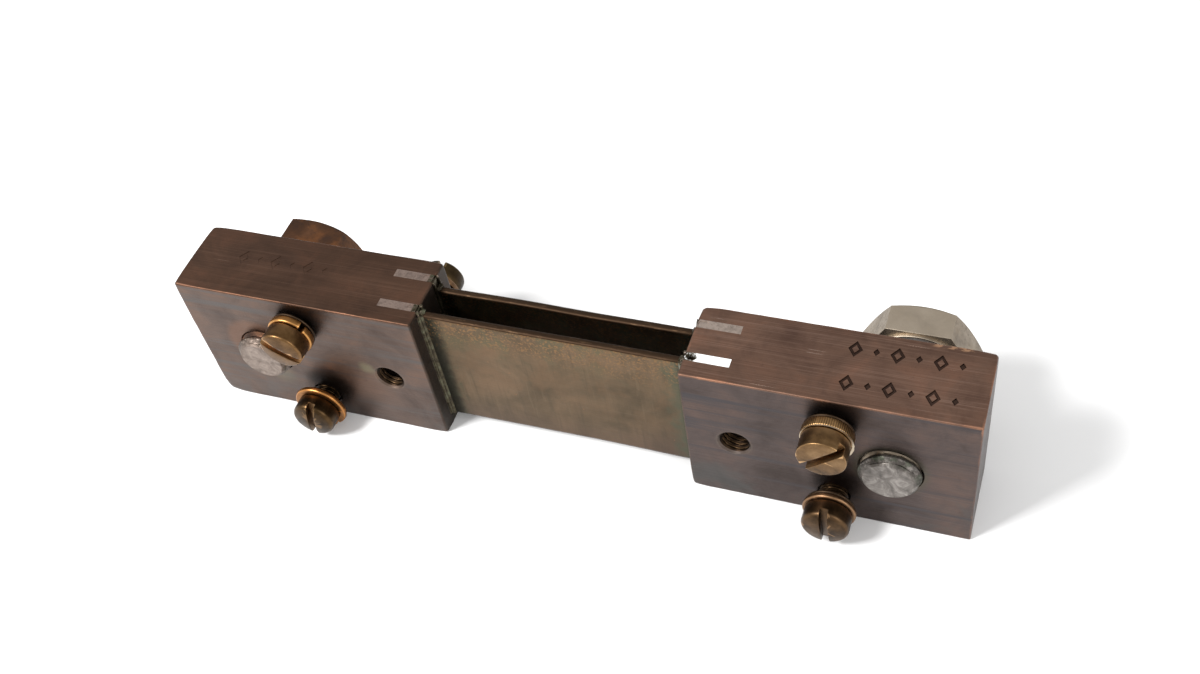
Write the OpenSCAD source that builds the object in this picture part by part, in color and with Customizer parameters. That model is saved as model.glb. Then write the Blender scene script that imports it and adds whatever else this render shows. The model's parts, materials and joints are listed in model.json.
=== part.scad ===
// Two-strip shunt for a battery monitor or a switchboard ammeter.
// Two bar blocks carry the load current in and out. Two thin resistance strips
// join them, soldered into saw slots in the blocks' facing ends. A hex bolt at
// the back of each block clamps the load cable, and two slotted screws on the
// front of each block take the sense wires.
// +X runs along the shunt, +Y from the front face to the back, +Z up.
// The origin is midway between the blocks, at mid depth, on the surface that
// the shunt stands on.

/* [Blocks] */
// Overall length of the shunt
overall_len = 133.35; // [120:0.05:150]
// Length of one block
block_len = 44.45; // [38:0.05:50]
// Depth of a block, front face to back face
block_t = 14; // [12:0.05:18]
// Height of a block
block_h = 28.575; // [28.2:0.005:32]
// Chamfer on a block's edges
edge_c = 0.3; // [0.1:0.05:0.6]

/* [Resistance strips] */
// Thickness of a strip
strip_t = 1.27; // [0.8:0.01:1.4]
// Height of a strip
strip_h = 25.3; // [20:0.1:25.6]
// Distance of each strip's mid plane from the shunt's mid plane
strip_off = 3.3; // [2.6:0.05:4]
// Height of the front strip's lower edge
front_z = 2.3; // [1:0.05:2.5]
// Height of the rear strip's lower edge
rear_z = 1.1; // [0.5:0.05:2]
// Width of a saw slot
slot_w = 1.6; // [1.5:0.01:1.8]
// Depth of a saw slot
slot_d = 7.15; // [6:0.05:8]
// Gap between a strip's end and the bottom of its slot
slot_end = 0.35; // [0.1:0.05:0.8]
// Leg of the solder fillet at a slot's mouth
fillet = 0.55; // [0.3:0.05:0.8]
// Length of the hollow left in the solder at a slot's mouth
pit_len = 1.7; // [1:0.1:2.5]

/* [Load bolts] */
// Distance of the left bolt from its block's outer end
left_bolt_in = 13.25; // [12.5:0.05:14]
// Distance of the right bolt from its block's outer end
right_bolt_in = 12.55; // [12:0.05:13.5]
// Bolt diameter
bolt_d = 9.5; // [9.4:0.01:9.6]
// Radial clearance of a shank in its hole
fit = 0.05; // [0.02:0.01:0.08]
// Hex head, across flats
hex_af = 17.3; // [16:0.1:18]
// Hex head, height
hex_h = 6.2; // [5.5:0.1:6.5]
// Left bolt, length under the head
left_bolt_len = 19.9; // [19:0.05:20.4]
// Right bolt, length under the head
right_bolt_len = 21.6; // [21.2:0.05:22.2]
// Left head's distance from the block
left_gap = 3.5; // [3:0.05:4]
// Right head's distance from the block
right_gap = 5.6; // [5:0.05:6]
// Bolt lock washer, outer diameter
bolt_lock_d = 17; // [16:0.1:17.4]
// Bolt lock washer, thickness
bolt_lock_t = 2.3; // [2:0.05:2.4]

/* [Sense screws] */
// Screw diameter
screw_d = 4.74; // [4.6:0.01:4.8]
// Screw head diameter
head_d = 7.5; // [7.2:0.05:7.9]
// Screw head height
head_h = 3.4; // [3:0.05:3.8]
// Screw length under the head
screw_len = 12.7; // [12:0.05:13]
// Width of the driver slot
driver_w = 1.3; // [1.1:0.05:1.5]
// Depth of the driver slot
driver_d = 1.6; // [1.2:0.05:1.8]
// Flat washer, outer diameter
flat_d = 7.8; // [7.4:0.05:8]
// Flat washer, thickness
flat_t = 0.5; // [0.4:0.05:0.7]
// Height of the two upper screws
upper_z = 22.9; // [22.5:0.05:23.3]

/* [Left upper sense screw] */
// Distance from the block's inner end
left_upper_in = 22.6; // [22:0.05:23.2]
// How far it is backed off
left_upper_back = 0.5; // [0.3:0.05:0.9]
// Lock washer, outer diameter
left_upper_ring_d = 8; // [7.8:0.05:8.4]
// Lock washer, thickness
left_upper_ring_t = 1.5; // [1.2:0.05:1.8]

/* [Left lower sense screw] */
// Distance from the block's inner end
left_lower_in = 22.3; // [21.6:0.05:23]
// Height
left_lower_z = 4.85; // [4.8:0.05:5.6]
// How far it is backed off
left_lower_back = 1.7; // [1.4:0.05:2.2]
// Lock washer, outer diameter
left_lower_ring_d = 9.4; // [9:0.05:9.5]
// Lock washer, thickness
left_lower_ring_t = 1.1; // [0.9:0.05:1.3]

/* [Right upper sense screw] */
// Distance from the block's inner end
right_upper_in = 22.95; // [22.4:0.05:23.4]
// How far it is backed off
right_upper_back = 0.75; // [0.5:0.05:1.1]
// Lock washer, outer diameter
right_upper_ring_d = 8; // [7.8:0.05:8.4]
// Lock washer, thickness
right_upper_ring_t = 1.75; // [1.5:0.05:2]

/* [Right lower sense screw] */
// Distance from the block's inner end
right_lower_in = 23.3; // [22.6:0.05:23.8]
// Height
right_lower_z = 5.3; // [4.8:0.05:5.8]
// How far it is backed off
right_lower_back = 2.05; // [1.7:0.05:2.4]
// Lock washer, outer diameter
right_lower_ring_d = 8.4; // [8:0.05:8.8]
// Lock washer, thickness
right_lower_ring_t = 1.1; // [0.9:0.05:1.3]

/* [Base screw and base hole] */
// Distance of the tapped base holes from a block's inner end
base_in = 7.8; // [7:0.05:8.5]
// Height of the left base hole
left_base_z = 13.2; // [12.6:0.05:14.4]
// Height of the right base hole
right_base_z = 13.7; // [13:0.05:14.4]
// Base screw head's distance from the block
base_gap = 7.3; // [6.4:0.05:7.8]
// Base screw's lock washer, outer diameter
base_ring_d = 8.2; // [8:0.05:8.5]
// Base screw's lock washer, thickness
base_ring_t = 1.2; // [1:0.05:1.3]

/* [Hidden] */
seg = 96;
tiny = 0.02;
mid_z = block_h / 2;
front = -block_t / 2;
back = block_t / 2;
inner = overall_len / 2 - block_len;
outer = overall_len / 2;
left_bolt_x = outer - left_bolt_in;
right_bolt_x = outer - right_bolt_in;
left_upper_x = inner + left_upper_in;
left_lower_x = inner + left_lower_in;
right_upper_x = inner + right_upper_in;
right_lower_x = inner + right_lower_in;
base_x = inner + base_in;
strip_len = 2 * (inner + slot_d - slot_end);
pit_w = strip_t - 0.1;

// a rectangle centred on the origin with chamfered corners
module cut_rect(w, h, c) {
  polygon([
    [-w / 2 + c, -h / 2], [w / 2 - c, -h / 2], [w / 2, -h / 2 + c], [w / 2, h / 2 - c],
    [w / 2 - c, h / 2], [-w / 2 + c, h / 2], [-w / 2, h / 2 - c], [-w / 2, -h / 2 + c]
  ]);
}

// bar with all its long edges and end edges chamfered, centred on the origin
module bar(l, t, h, c) {
  intersection() {
    rotate([90, 0, 90]) translate([0, 0, -l / 2]) linear_extrude(l) cut_rect(t, h, c);
    translate([0, 0, -h / 2]) linear_extrude(h) cut_rect(l, t, c);
    rotate([90, 0, 0]) translate([0, 0, -t / 2]) linear_extrude(t) cut_rect(l, h, c);
  }
}

// a hole right through a block along Y, with a small countersink at both faces
module hole(x, z, d, c) {
  translate([x, 0, z]) rotate([90, 0, 0]) {
    cylinder(d = d, h = block_t + 2, center = true, $fn = seg);
    for (s = [-1, 1])
      translate([0, 0, s * block_t / 2]) mirror([0, 0, s > 0 ? 0 : 1])
        translate([0, 0, -c]) cylinder(d1 = d, d2 = d + 4 * c, h = 2 * c, $fn = seg);
  }
}

// a block on the +X side; screws holds the x and z of its small tapped holes
module block(bolt_x, screws) {
  difference() {
    translate([inner + block_len / 2, 0, mid_z]) bar(block_len, block_t, block_h, edge_c);
    for (s = [-1, 1])
      translate([inner - 1, s * strip_off - slot_w / 2, -1]) cube([slot_d + 1, slot_w, block_h + 2]);
    hole(bolt_x, mid_z, bolt_d + 2 * fit, 0.25);
    for (p = screws) hole(p[0], p[1], screw_d + 2 * fit, 0.3);
  }
}

// a base hole was drilled through the slots' ends, so it notches the strips and
// the solder
module base_bore(x, z) {
  translate([x, 0, z]) rotate([90, 0, 0])
    cylinder(d = screw_d + 2 * fit, h = block_t + 2, center = true, $fn = seg);
}

module strip(y, z) {
  difference() {
    translate([-strip_len / 2, y - strip_t / 2, z]) cube([strip_len, strip_t, strip_h]);
    base_bore(-base_x, left_base_z);
    base_bore(base_x, right_base_z);
  }
}

// solder of one slot on the +X side: it fills the slot round the strip, stands a
// little proud at the mouth, and leaves a small hollow above the strip there
module solder(y, z, hole_z) {
  difference() {
    union() {
      translate([inner, y - slot_w / 2, edge_c])
        cube([slot_d, slot_w, block_h - 2 * edge_c]);
      translate([inner + edge_c, y - slot_w / 2, 0]) cube([slot_d - edge_c, slot_w, block_h]);
      for (s = [-1, 1])
        translate([inner, y, z]) linear_extrude(strip_h)
          polygon([
            [0, s * strip_t / 2], [-fillet * 1.6, s * strip_t / 2],
            [-fillet * 0.4, s * (strip_t / 2 + fillet * 0.45)], [0, s * (strip_t / 2 + fillet)]
          ]);
    }
    translate([0, y - strip_t / 2, z]) cube([strip_len / 2, strip_t, strip_h]);
    base_bore(base_x, hole_z);
    translate([inner + 0.9, y, z + strip_h]) {
      for (x = [0, pit_len - pit_w]) translate([x, 0, 0]) cylinder(d = pit_w, h = block_h, $fn = seg);
      translate([0, -pit_w / 2, 0]) cube([pit_len - pit_w, pit_w, block_h]);
    }
  }
}

module left() {
  mirror([1, 0, 0]) children();
}

// hex bolt along -Z from the underside of its head, which is at Z = 0
module hex_bolt(l) {
  cone_h = hex_h + 1;
  intersection() {
    translate([0, 0, 0.4]) cylinder(d = hex_af / cos(30), h = hex_h - 0.4, $fn = 6);
    translate([0, 0, hex_h - cone_h])
      cylinder(d1 = hex_af * 0.95 + 2 * cone_h / tan(30), d2 = hex_af * 0.95, h = cone_h, $fn = seg);
    cylinder(d = hex_af / cos(30) - 0.25, h = hex_h, $fn = seg);
  }
  cylinder(d = hex_af * 0.95, h = 0.5, $fn = seg);
  translate([0, 0, -l + 0.9]) cylinder(d = bolt_d, h = l - 0.9 + 0.2, $fn = seg);
  translate([0, 0, -l]) cylinder(d1 = bolt_d - 1.8, d2 = bolt_d, h = 0.9, $fn = seg);
}

// cheese-head screw along -Z from the underside of its head, which is at Z = 0;
// turn is the angle of its driver slot
module cheese_screw(turn) {
  difference() {
    union() {
      cylinder(d = head_d, h = head_h - 0.6, $fn = seg);
      translate([0, 0, head_h - 0.6]) cylinder(d1 = head_d, d2 = head_d - 0.5, h = 0.35, $fn = seg);
      translate([0, 0, head_h - 0.25]) cylinder(d1 = head_d - 0.5, d2 = head_d - 1.5, h = 0.25, $fn = seg);
      translate([0, 0, -screw_len + 0.6]) cylinder(d = screw_d, h = screw_len - 0.6 + 0.2, $fn = seg);
      translate([0, 0, -screw_len]) cylinder(d1 = screw_d - 1.2, d2 = screw_d, h = 0.6, $fn = seg);
    }
    rotate(turn) translate([-head_d, -driver_w / 2, head_h - driver_d])
      cube([2 * head_d, driver_w, driver_d + 1]);
  }
}

// split ring lying on Z = 0; turn is the angle of the slit
module lock_washer(od, id, t, slit, turn) {
  difference() {
    cylinder(d = od, h = t, $fn = seg);
    translate([0, 0, -1]) cylinder(d = id, h = t + 2, $fn = seg);
    rotate([0, 0, turn]) translate([od / 2 - (od - id) / 4, 0, t / 2]) rotate([18, 0, 0])
      cube([od - id, slit, 3 * t], center = true);
  }
}

module flat_washer(od, id, t) {
  difference() {
    cylinder(d = od, h = t, $fn = seg);
    translate([0, 0, -1]) cylinder(d = id, h = t + 2, $fn = seg);
  }
}

// puts a part modelled along Z at a point of the front face, standing out of it
module on_front(x, z, off) {
  translate([x, front - off, z]) rotate([90, 0, 0]) children();
}

// the same at the back face
module on_back(x, z, off) {
  translate([x, back + off, z]) rotate([-90, 0, 0]) children();
}

// the three parts of one sense screw; off is how far the stack is backed off
module screw_at(x, z, off, ring_t, turn) {
  on_front(x, z, off + flat_t + ring_t + tiny) cheese_screw(turn);
}

module ring_at(x, z, off, ring_d, ring_t, turn) {
  on_front(x, z, off + flat_t + tiny) lock_washer(ring_d, screw_d + 0.6, ring_t, 0.7, turn);
}

module flat_at(x, z, off) {
  on_front(x, z, off + tiny) flat_washer(flat_d, screw_d + 0.5, flat_t);
}

module left_block() {
  color([0.36, 0.25, 0.21]) left()
    block(left_bolt_x, [[base_x, left_base_z], [left_upper_x, upper_z], [left_lower_x, left_lower_z]]);
}
module right_block() {
  color([0.43, 0.31, 0.27])
    block(right_bolt_x, [[base_x, right_base_z], [right_upper_x, upper_z], [right_lower_x, right_lower_z]]);
}
module front_strip() { color([0.47, 0.4, 0.31]) strip(-strip_off, front_z); }
module rear_strip() { color([0.45, 0.38, 0.3]) strip(strip_off, rear_z); }
module left_front_solder() { color([0.7, 0.68, 0.66]) left() solder(-strip_off, front_z, left_base_z); }
module left_rear_solder() { color([0.7, 0.68, 0.66]) left() solder(strip_off, rear_z, left_base_z); }
module right_front_solder() { color([0.8, 0.8, 0.8]) solder(-strip_off, front_z, right_base_z); }
module right_rear_solder() { color([0.7, 0.68, 0.66]) solder(strip_off, rear_z, right_base_z); }

module left_bolt() {
  color([0.4, 0.26, 0.2]) on_back(-left_bolt_x, mid_z, left_gap) rotate(9) hex_bolt(left_bolt_len);
}
module left_bolt_washer() {
  color([0.35, 0.3, 0.27]) on_back(-left_bolt_x, mid_z, left_gap - bolt_lock_t - tiny)
    lock_washer(bolt_lock_d, bolt_d + 0.6, bolt_lock_t, 1.2, 200);
}
module right_bolt() {
  color([0.62, 0.6, 0.57]) on_back(right_bolt_x, mid_z, right_gap) hex_bolt(right_bolt_len);
}
module right_bolt_washer() {
  color([0.3, 0.28, 0.26]) on_back(right_bolt_x, mid_z, right_gap - bolt_lock_t - tiny)
    lock_washer(bolt_lock_d, bolt_d + 0.6, bolt_lock_t, 1.2, 230);
}

module left_upper_screw() {
  color([0.55, 0.43, 0.24]) screw_at(-left_upper_x, upper_z, left_upper_back, left_upper_ring_t, 149);
}
module left_upper_lock_washer() {
  color([0.62, 0.45, 0.22])
    ring_at(-left_upper_x, upper_z, left_upper_back, left_upper_ring_d, left_upper_ring_t, 40);
}
module left_upper_flat_washer() {
  color([0.6, 0.55, 0.5]) flat_at(-left_upper_x, upper_z, left_upper_back);
}

module left_lower_screw() {
  color([0.55, 0.43, 0.24])
    screw_at(-left_lower_x, left_lower_z, left_lower_back, left_lower_ring_t, 82);
}
module left_lower_lock_washer() {
  color([0.62, 0.45, 0.22])
    ring_at(-left_lower_x, left_lower_z, left_lower_back, left_lower_ring_d, left_lower_ring_t, 300);
}
module left_lower_flat_washer() {
  color([0.6, 0.55, 0.5]) flat_at(-left_lower_x, left_lower_z, left_lower_back);
}

module right_upper_screw() {
  color([0.55, 0.43, 0.24]) screw_at(right_upper_x, upper_z, right_upper_back, right_upper_ring_t, 41);
}
module right_upper_lock_washer() {
  color([0.62, 0.45, 0.22])
    ring_at(right_upper_x, upper_z, right_upper_back, right_upper_ring_d, right_upper_ring_t, 350);
}
module right_upper_flat_washer() {
  color([0.6, 0.55, 0.5]) flat_at(right_upper_x, upper_z, right_upper_back);
}

module right_lower_screw() {
  color([0.55, 0.43, 0.24])
    screw_at(right_lower_x, right_lower_z, right_lower_back, right_lower_ring_t, 93);
}
module right_lower_lock_washer() {
  color([0.62, 0.45, 0.22])
    ring_at(right_lower_x, right_lower_z, right_lower_back, right_lower_ring_d, right_lower_ring_t, 260);
}
module right_lower_flat_washer() {
  color([0.6, 0.55, 0.5]) flat_at(right_lower_x, right_lower_z, right_lower_back);
}

module base_screw() {
  color([0.5, 0.42, 0.28]) on_back(-base_x, left_base_z, base_gap) cheese_screw(95);
}
module base_screw_washer() {
  color([0.55, 0.45, 0.3]) on_back(-base_x, left_base_z, base_gap - base_ring_t - tiny)
    lock_washer(base_ring_d, screw_d + 0.6, base_ring_t, 0.7, 190);
}

left_block();
right_block();
front_strip();
rear_strip();
left_front_solder();
left_rear_solder();
right_front_solder();
right_rear_solder();
left_bolt();
left_bolt_washer();
right_bolt();
right_bolt_washer();
left_upper_screw();
left_upper_lock_washer();
left_upper_flat_washer();
left_lower_screw();
left_lower_lock_washer();
left_lower_flat_washer();
right_upper_screw();
right_upper_lock_washer();
right_upper_flat_washer();
right_lower_screw();
right_lower_lock_washer();
right_lower_flat_washer();
base_screw();
base_screw_washer();
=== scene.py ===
import json
import math

import bmesh
import bpy
import numpy as np
from mathutils import Matrix, Vector, noise


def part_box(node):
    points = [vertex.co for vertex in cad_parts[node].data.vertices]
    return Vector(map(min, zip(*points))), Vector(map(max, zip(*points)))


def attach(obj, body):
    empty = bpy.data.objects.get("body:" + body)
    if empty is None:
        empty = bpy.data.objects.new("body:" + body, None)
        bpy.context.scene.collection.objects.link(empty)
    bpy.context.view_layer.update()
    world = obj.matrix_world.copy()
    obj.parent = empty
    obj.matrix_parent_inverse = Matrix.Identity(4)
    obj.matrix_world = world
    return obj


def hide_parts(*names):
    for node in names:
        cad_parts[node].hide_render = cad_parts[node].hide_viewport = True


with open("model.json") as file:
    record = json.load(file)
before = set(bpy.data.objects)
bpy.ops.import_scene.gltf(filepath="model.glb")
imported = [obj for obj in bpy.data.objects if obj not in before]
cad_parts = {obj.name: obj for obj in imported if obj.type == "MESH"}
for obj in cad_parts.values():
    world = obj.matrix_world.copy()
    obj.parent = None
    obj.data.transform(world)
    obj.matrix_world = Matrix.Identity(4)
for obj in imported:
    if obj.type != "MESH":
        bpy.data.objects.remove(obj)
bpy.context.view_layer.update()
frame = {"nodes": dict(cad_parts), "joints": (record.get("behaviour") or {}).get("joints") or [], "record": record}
MM = 0.001
NODES = frame["nodes"]
ROOT = "blocks_and_strips"


def node_mm(name):
    lo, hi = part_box(name)
    return lo / MM, hi / MM


def axis_of(node):
    lo, hi = node_mm(node)
    return (lo.x + hi.x) / 2, (lo.z + hi.z) / 2


def mount_mm(name):
    return next([v / MM for v in m["pos_m"]] for m in frame["record"]["mounts"] if m["name"] == name)


FRONT_Y, BACK_Y = node_mm("left_block")[0].y, node_mm("left_block")[1].y
TOP_Z = node_mm("left_block")[1].z
INNER = node_mm("right_block")[0].x
HOLE_X = mount_mm("right_base_hole")[0]
HOLE_Z = {1: mount_mm("right_base_hole")[2], -1: axis_of("base_screw")[1]}
RIGHT_BOLT = axis_of("right_bolt")
LEFT_BOLT = axis_of("left_bolt")
# sizes in millimetres
SCREW_HOLE_R, BOLT_HOLE_R = 2.42, 4.80
SCREW_R, BOLT_R = 2.37, 4.75
SCREW_PITCH, BOLT_PITCH = 0.79375, 1.5875
SCREW_LEN, CHEESE_H = 12.7, 3.4
HEX_AF, HEX_H = 17.3, 6.2
STRIP_Y = 3.3  # each strip's mid plane, in front of and behind the shunt's
SLOT_HALF, SLOT_DEPTH = 0.8, 7.15


# ---------------------------------------------------------------- mesh helpers
def new_object(name, verts, faces, smooth=30):
    me = bpy.data.meshes.new(name)
    me.from_pydata([tuple(v) for v in verts], [], [tuple(f) for f in faces])
    me.update()
    ob = bpy.data.objects.new(name, me)
    bpy.context.collection.objects.link(ob)
    bm = bmesh.new()
    bm.from_mesh(me)
    bmesh.ops.recalc_face_normals(bm, faces=bm.faces)
    bm.to_mesh(me)
    bm.free()
    finish_shading(ob, smooth)
    return ob


def finish_shading(ob, smooth=30):
    me = ob.data
    me.polygons.foreach_set("use_smooth", [True] * len(me.polygons))
    me.set_sharp_from_angle(angle=math.radians(smooth))
    me.update()


def apply_modifiers(ob):
    bpy.context.view_layer.update()
    dg = bpy.context.evaluated_depsgraph_get()
    me = bpy.data.meshes.new_from_object(ob.evaluated_get(dg))
    ob.modifiers.clear()
    old = ob.data
    ob.data = me
    bpy.data.meshes.remove(old)


def cut(ob, cutter, operation="DIFFERENCE"):
    m = ob.modifiers.new("cut", "BOOLEAN")
    m.operation = operation
    m.solver = "EXACT"
    m.object = cutter
    apply_modifiers(ob)
    me = cutter.data
    bpy.data.objects.remove(cutter)
    bpy.data.meshes.remove(me)


def bevel(ob, width, segments=2, angle=35):
    m = ob.modifiers.new("bevel", "BEVEL")
    m.width = width
    m.segments = segments
    m.limit_method = "ANGLE"
    m.angle_limit = math.radians(angle)
    apply_modifiers(ob)


def join(parts, name):
    bm = bmesh.new()
    for p in parts:
        bm.from_mesh(p.data)
    me = bpy.data.meshes.new(name)
    bm.to_mesh(me)
    bm.free()
    for p in parts:
        old = p.data
        bpy.data.objects.remove(p)
        bpy.data.meshes.remove(old)
    ob = bpy.data.objects.new(name, me)
    bpy.context.collection.objects.link(ob)
    return ob


def box_mesh(name, lo, hi, matrix=Matrix.Identity(4)):
    x0, y0, z0 = lo
    x1, y1, z1 = hi
    v = [(x0, y0, z0), (x1, y0, z0), (x1, y1, z0), (x0, y1, z0),
         (x0, y0, z1), (x1, y0, z1), (x1, y1, z1), (x0, y1, z1)]
    f = [(0, 3, 2, 1), (4, 5, 6, 7), (0, 1, 5, 4), (1, 2, 6, 5), (2, 3, 7, 6), (3, 0, 4, 7)]
    return new_object(name, [matrix @ Vector(p) for p in v], f)


def grid_faces(rows, cols):
    f = []
    for i in range(rows - 1):
        for j in range(cols):
            a, b = i * cols + j, i * cols + (j + 1) % cols
            f.append((a, b, b + cols, a + cols))
    return f


def lathe(name, profile, seg=72, radial=None, smooth=30):
    """Surface of revolution about Z. A profile point with radius 0 closes the surface."""
    verts, faces, rings = [], [], []
    for r, z in profile:
        if r == 0:
            rings.append([len(verts)])
            verts.append((0, 0, z))
            continue
        ring = []
        for j in range(seg):
            a = 2 * math.pi * j / seg
            k = radial(a, r, z) if radial else r
            ring.append(len(verts))
            verts.append((k * math.cos(a), k * math.sin(a), z))
        rings.append(ring)
    for a, b in zip(rings, rings[1:]):
        for j in range(seg):
            q = (j + 1) % seg
            if len(a) == 1:
                faces.append((a[0], b[q], b[j]))
            elif len(b) == 1:
                faces.append((a[j], a[q], b[0]))
            else:
                faces.append((a[j], a[q], b[q], b[j]))
    return new_object(name, verts, faces, smooth)


def threaded_rod(name, z0, z1, r, pitch, depth, tip=0.6, seg=56, per=9, plain=0.0):
    """Right-hand thread about Z from the tip at z0 up to z1, with a chamfered tip."""
    rows = max(8, int((z1 - z0) / pitch * per))
    verts = []
    for i in range(rows + 1):
        z = z0 + (z1 - z0) * i / rows
        for j in range(seg):
            a = 2 * math.pi * j / seg
            p = (z / pitch - j / seg) % 1.0
            h = min(1.0, (1 - abs(2 * p - 1)) * 1.3)
            k = r - depth + depth * h
            if z > z1 - plain:
                k = r
            k = min(k, r - tip + (z - z0) * 1.0)
            verts.append((k * math.cos(a), k * math.sin(a), z))
    faces = grid_faces(rows + 1, seg)
    c = len(verts)
    verts.append((0, 0, z0))
    faces += [(c, j, (j + 1) % seg) for j in range(seg)]
    return new_object(name, verts, faces, 60)


def front_matrix(x, y, z):
    """Part modelled along +Z put on the front face: +Z points to -Y."""
    return Matrix(((1, 0, 0, x), (0, 0, -1, y), (0, 1, 0, z), (0, 0, 0, 1)))


def back_matrix(x, y, z):
    """The same for the back face: +Z points to +Y."""
    return Matrix(((1, 0, 0, x), (0, 0, 1, y), (0, -1, 0, z), (0, 0, 0, 1)))


def place(ob, matrix):
    ob.data.transform(Matrix.Scale(MM, 4) @ matrix)
    ob.data.update()


def settle(ob, body, material, replaced=()):
    ob.data.materials.clear()
    for m in material if isinstance(material, (list, tuple)) else [material]:
        ob.data.materials.append(m)
    if replaced:
        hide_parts(*replaced)
    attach(ob, body)
    return ob


# ------------------------------------------------------------ material helpers
class Tree:
    """Small helper to write node materials. Lengths in the patterns are in millimetres."""

    def __init__(self, name):
        self.m = bpy.data.materials.new(name)
        self.m.use_nodes = True
        self.t = self.m.node_tree
        self.t.nodes.clear()
        self.out = self.t.nodes.new("ShaderNodeOutputMaterial")
        self.bsdf = self.t.nodes.new("ShaderNodeBsdfPrincipled")
        self.t.links.new(self.bsdf.outputs[0], self.out.inputs[0])
        tc = self.t.nodes.new("ShaderNodeTexCoord")
        self.p = self.vec("MULTIPLY", tc.outputs["Object"], (1000, 1000, 1000))
        sep = self.t.nodes.new("ShaderNodeSeparateXYZ")
        self.t.links.new(self.p, sep.inputs[0])
        self.x, self.y, self.z = sep.outputs

    def put(self, socket, value):
        if isinstance(value, bpy.types.NodeSocket):
            self.t.links.new(value, socket)
        elif isinstance(value, (tuple, list)):
            v = list(value)
            n = len(socket.default_value)
            socket.default_value = (v + [1.0])[:n] if len(v) < n else v[:n]
        else:
            socket.default_value = value

    def vec(self, op, a, b=(0, 0, 0)):
        n = self.t.nodes.new("ShaderNodeVectorMath")
        n.operation = op
        self.put(n.inputs[0], a)
        self.put(n.inputs[1], b)
        return n.outputs["Value"] if op in ("LENGTH", "DISTANCE", "DOT_PRODUCT") else n.outputs[0]

    def math(self, op, a, b=0.0):
        n = self.t.nodes.new("ShaderNodeMath")
        n.operation = op
        self.put(n.inputs[0], a)
        self.put(n.inputs[1], b)
        return n.outputs[0]

    def band(self, v, lo, hi):
        """0 below lo, 1 above hi, smooth between; lo may be above hi to turn it round."""
        n = self.t.nodes.new("ShaderNodeMapRange")
        n.interpolation_type = "SMOOTHSTEP"
        self.put(n.inputs["Value"], v)
        if lo < hi:
            a, b, c, d = lo, hi, 0.0, 1.0
        else:
            a, b, c, d = hi, lo, 1.0, 0.0
        n.inputs["From Min"].default_value = a
        n.inputs["From Max"].default_value = b
        n.inputs["To Min"].default_value = c
        n.inputs["To Max"].default_value = d
        return n.outputs[0]

    def noise(self, scale, detail=4.0, rough=0.55, stretch=(1, 1, 1), offset=(0, 0, 0), distort=0.0):
        v = self.vec("MULTIPLY", self.p, stretch)
        v = self.vec("ADD", v, offset)
        n = self.t.nodes.new("ShaderNodeTexNoise")
        self.put(n.inputs["Vector"], v)
        n.inputs["Scale"].default_value = scale
        n.inputs["Detail"].default_value = detail
        n.inputs["Roughness"].default_value = rough
        n.inputs["Distortion"].default_value = distort
        return n.outputs[0]

    def cells(self, scale):
        n = self.t.nodes.new("ShaderNodeTexVoronoi")
        n.feature = "F1"
        self.put(n.inputs["Vector"], self.p)
        n.inputs["Scale"].default_value = scale
        return n.outputs["Distance"]

    def mix(self, f, a, b):
        n = self.t.nodes.new("ShaderNodeMix")
        n.data_type = "RGBA"
        self.put(n.inputs[0], f)
        self.put(n.inputs[6], a)
        self.put(n.inputs[7], b)
        return n.outputs[2]

    def ramp(self, f, stops):
        n = self.t.nodes.new("ShaderNodeValToRGB")
        e = n.color_ramp.elements
        while len(e) > 1:
            e.remove(e[-1])
        e[0].position, e[0].color = stops[0][0], (*stops[0][1], 1)
        for pos, col in stops[1:]:
            k = e.new(pos)
            k.color = (*col, 1)
        self.put(n.inputs[0], f)
        return n.outputs[0]

    def bump(self, height, distance, strength=1.0, normal=None):
        n = self.t.nodes.new("ShaderNodeBump")
        n.inputs["Strength"].default_value = strength
        n.inputs["Distance"].default_value = distance * MM
        self.put(n.inputs["Height"], height)
        if normal is not None:
            self.put(n.inputs["Normal"], normal)
        return n.outputs[0]

    def pointiness(self):
        return self.t.nodes.new("ShaderNodeNewGeometry").outputs["Pointiness"]

    def add(self, *values):
        out = values[0]
        for v in values[1:]:
            out = self.math("ADD", out, v)
        return out

    def mul(self, *values):
        out = values[0]
        for v in values[1:]:
            out = self.math("MULTIPLY", out, v)
        return out

    def radius(self, x, z):
        """Distance in millimetres from an axis along Y through x, z."""
        dx = self.math("SUBTRACT", self.x, x)
        dz = self.math("SUBTRACT", self.z, z)
        return self.math("SQRT", self.add(self.mul(dx, dx), self.mul(dz, dz)))

    def depth_in(self, coordinate, centre, half):
        """Depth in millimetres inside the nearer of a box's two faces across one axis."""
        return self.math("SUBTRACT", half, self.math("ABSOLUTE", self.math("SUBTRACT", coordinate, centre)))

    def edge_distance(self, centre, half):
        """Distance in millimetres along the surface of a box to its nearest edge."""
        a, b, c = [self.depth_in(*row) for row in zip((self.x, self.y, self.z), centre, half)]
        return self.math("MAXIMUM", self.math("MINIMUM", a, b),
                         self.math("MINIMUM", self.math("MAXIMUM", a, b), c))

    def finish(self, color, rough, metallic=1.0, normal=None, **constants):
        self.put(self.bsdf.inputs["Base Color"], color)
        self.put(self.bsdf.inputs["Roughness"], rough)
        self.put(self.bsdf.inputs["Metallic"], metallic)
        if normal is not None:
            self.put(self.bsdf.inputs["Normal"], normal)
        for k, v in constants.items():
            self.bsdf.inputs[k.replace("_", " ")].default_value = v
        return self.m


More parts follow.
